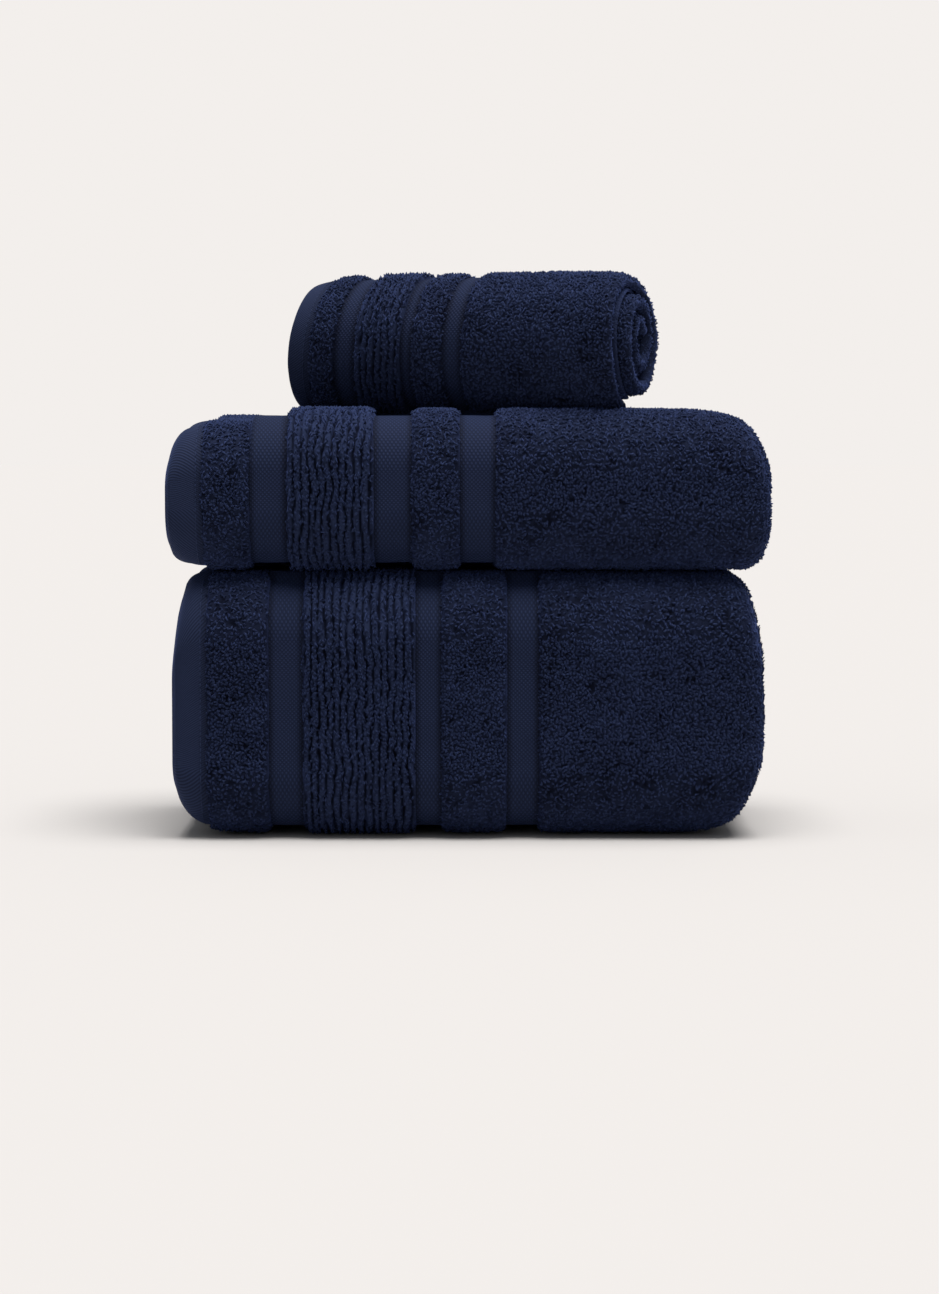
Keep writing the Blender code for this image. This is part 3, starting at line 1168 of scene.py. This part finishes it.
def make_stage():
    """A wide pale floor, just under the towels."""
    side = 40.0
    mesh = bpy.data.meshes.new("floor")
    corners = [(-side, -side, 0), (side, -side, 0), (side, side, 0), (-side, side, 0)]
    mesh.from_pydata(corners, [], [(0, 1, 2, 3)])
    floor = bpy.data.objects.new("floor", mesh)
    bpy.context.scene.collection.objects.link(floor)
    floor.location.z = -0.0004
    material = bpy.data.materials.new("pale_floor")
    material.use_nodes = True
    shader = material.node_tree.nodes["Principled BSDF"]
    pale = (0.553, 0.534, 0.520, 1)
    set_inputs(shader, Base_Color=pale, Roughness=1.0, Specular_IOR_Level=0.0)
    mesh.materials.append(material)


def make_world():
    """Even surround: pale to the eye, and dimmer as a light."""
    world = bpy.data.worlds.new("studio")
    bpy.context.scene.world = world
    world.use_nodes = True
    tree = world.node_tree
    tree.nodes.clear()
    output = tree.nodes.new("ShaderNodeOutputWorld")
    seen = node_of(tree, "ShaderNodeBackground", Color=(0.896, 0.863, 0.838, 1))
    light = node_of(tree, "ShaderNodeBackground", Color=(0.93, 0.96, 1.0, 1), Strength=AMBIENT)
    path = tree.nodes.new("ShaderNodeLightPath")
    mix = tree.nodes.new("ShaderNodeMixShader")
    tree.links.new(path.outputs["Is Camera Ray"], mix.inputs["Fac"])
    tree.links.new(light.outputs["Background"], mix.inputs[1])
    tree.links.new(seen.outputs["Background"], mix.inputs[2])
    tree.links.new(mix.outputs["Shader"], output.inputs["Surface"])


def add_sun(name, strength, spread, tilt, turn, colour):
    """A distant soft light: tilt is from straight above, turn is round from the +X side."""
    data = bpy.data.lights.new(name, "SUN")
    data.energy = strength
    data.angle = math.radians(spread)
    data.color = colour
    lamp = bpy.data.objects.new(name, data)
    bpy.context.scene.collection.objects.link(lamp)
    t = math.radians(tilt)
    a = math.radians(turn)
    towards = Vector((math.sin(t) * math.cos(a), math.sin(t) * math.sin(a), math.cos(t)))
    lamp.rotation_mode = "QUATERNION"
    lamp.rotation_quaternion = towards.to_track_quat("Z", "Y")


def make_camera():
    """Nearly level, with a long lens, and aimed at the stack's lower half."""
    data = bpy.data.cameras.new("camera")
    data.sensor_width = SENSOR
    data.lens = SENSOR * CAMERA_AWAY / FRAME_HEIGHT
    data.clip_end = 200.0
    camera = bpy.data.objects.new("camera", data)
    bpy.context.scene.collection.objects.link(camera)
    front = cad_box[0][1]
    target = Vector((0.0, front, LOOK_HEIGHT))
    camera.location = (0.0, front - CAMERA_AWAY, CAMERA_HEIGHT)
    camera.rotation_mode = "QUATERNION"
    camera.rotation_quaternion = (target - camera.location).to_track_quat("-Z", "Y")
    bpy.context.scene.camera = camera


# ------------------------ build


def second_turn(path):
    """The start and end of the second turn along a path that begins with a run."""
    ends = np.flatnonzero(np.diff(path["bend"].astype(int)))
    return path["s"][ends[2]], path["s"][ends[3]]


def weave_zones(towel, cottons):
    """The outermost layer's woven zones: a fine surface each, and loops on those with pile."""
    pieces = []
    for zone, first, last in zone_spans(towel):
        kind = zone.split("_")[0]
        cotton_here = cottons[kind]
        span = (first, last)
        name = f"{towel['name']}_{zone}"
        surface = zone_piece(towel, f"{name}_surface", zone, span, towel["fine"], cotton_here)
        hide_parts(f"{towel['body']}_{zone}")
        pieces.append(surface)
        if kind not in LOWEST_LOOP:
            continue
        parts = FIELD_PARTS if zone == FIELD else 1
        bounds = np.linspace(*towel["loop_cross"], parts + 1)
        for k, cross in enumerate(zip(bounds[:-1], bounds[1:])):
            part_name = f"{name}_loops_{k + 1}"
            seed = seed_of(towel, zone) + 7 + k
            loops = loops_piece(towel, part_name, zone, span, cross, cotton_here, seed)
            pieces.append(loops)
    return pieces


def fold_ends(towel, cottons):
    """The folded end's fine surface, the loops over it, and the loops in the fold opposite."""
    face = towel["face"]
    wrap_end = towel["wrap_end"]
    width = towel["section"]["length"]
    loops_start, loops_end = towel["loop_cross"]
    span = (face, wrap_end)
    sides = (SELVEDGE, width - SELVEDGE)
    name = f"{towel['name']}_folded_end"
    surface = zone_piece(towel, name, FIELD, span, sides, cottons["terry"])
    pieces = [surface]
    if towel["name"] == "guest":
        shown = 1.0
        wide_span = (face - 16 * MM, wrap_end + 4 * MM)
        beside = [(wide_span, (loops_end, width), ROLL_END_LOOPS, 1)]
    else:
        shown = 0.62
        beside = [
            (span, (loops_end, width - SELVEDGE), SPARSE_LOOPS, 1),
            (span, (SELVEDGE, loops_start), SPARSE_LOOPS, 1),
        ]
    near_face = (face, face + shown * (wrap_end - face))
    stands = [
        (near_face, towel["loop_cross"], LOOP_DENSITY, 1),
        *beside,
        (second_turn(towel["strip"]), sides, SPARSE_LOOPS, -1),
    ]
    for k, (stand, cross, density, side) in enumerate(stands):
        name = f"{towel['name']}_end_loops_{k + 1}"
        seed = seed_of(towel, FIELD) + 30 + k
        terry = cottons["terry"]
        loops = loops_piece(towel, name, FIELD, stand, cross, terry, seed, density, side)
        pieces.append(loops)
    return pieces


def build(towel, cottons):
    """One towel: its cloth, and the pieces that lie over it."""
    pieces = weave_zones(towel, cottons) + fold_ends(towel, cottons)
    stitches = stitches_piece(towel, towel["fine"], cottons["thread"])
    pieces.append(stitches)
    cloth = cloth_piece(towel, cottons["inner"])
    inner = "inner_turns" if towel["name"] == "guest" else "inner_folds"
    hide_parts(f"{towel['body']}_{inner}")
    return cloth, pieces


def main():
    make_camera()
    make_world()
    make_stage()
    add_sun("overhead", 4.26, 42.0, 9.0, -50.0, (1.0, 0.985, 0.97))
    cottons = {
        "terry": terry_cotton("navy_terry", (0.0285, 0.0415, 0.0985)),
        "ribbed": terry_cotton("navy_ribs", (0.0222, 0.0326, 0.0775)),
        "inner": inside_cotton("navy_inside"),
        # The woven cottons' shade colours are painted shadow along the bands' edges beside the
        # pile.
        "dobby": woven_cotton(
            "navy_dobby",
            shade_colour=(0.0026, 0.0039, 0.0115),
            light=(0.0154, 0.0236, 0.0600),
            pitch=1.7 * MM,
            turns=(math.pi / 4, -math.pi / 4),
            strength=0.7,
        ),
        "hem": woven_cotton(
            "navy_hem",
            shade_colour=(0.0086, 0.0127, 0.0315),
            light=(0.0146, 0.0214, 0.0520),
            pitch=1.2 * MM,
            turns=(math.pi / 3,),
            strength=0.35,
        ),
        "thread": thread_cotton(),
    }
    stack = (
        (bath_towel(), []),
        (hand_towel(), ["bath_cloth"]),
        (guest_towel(), ["hand_cloth"]),
    )
    for towel, rests in stack:
        cloth, pieces = build(towel, cottons)


bpy.context.scene.view_settings.view_transform = "Standard"
main()
bpy.context.view_layer.update()
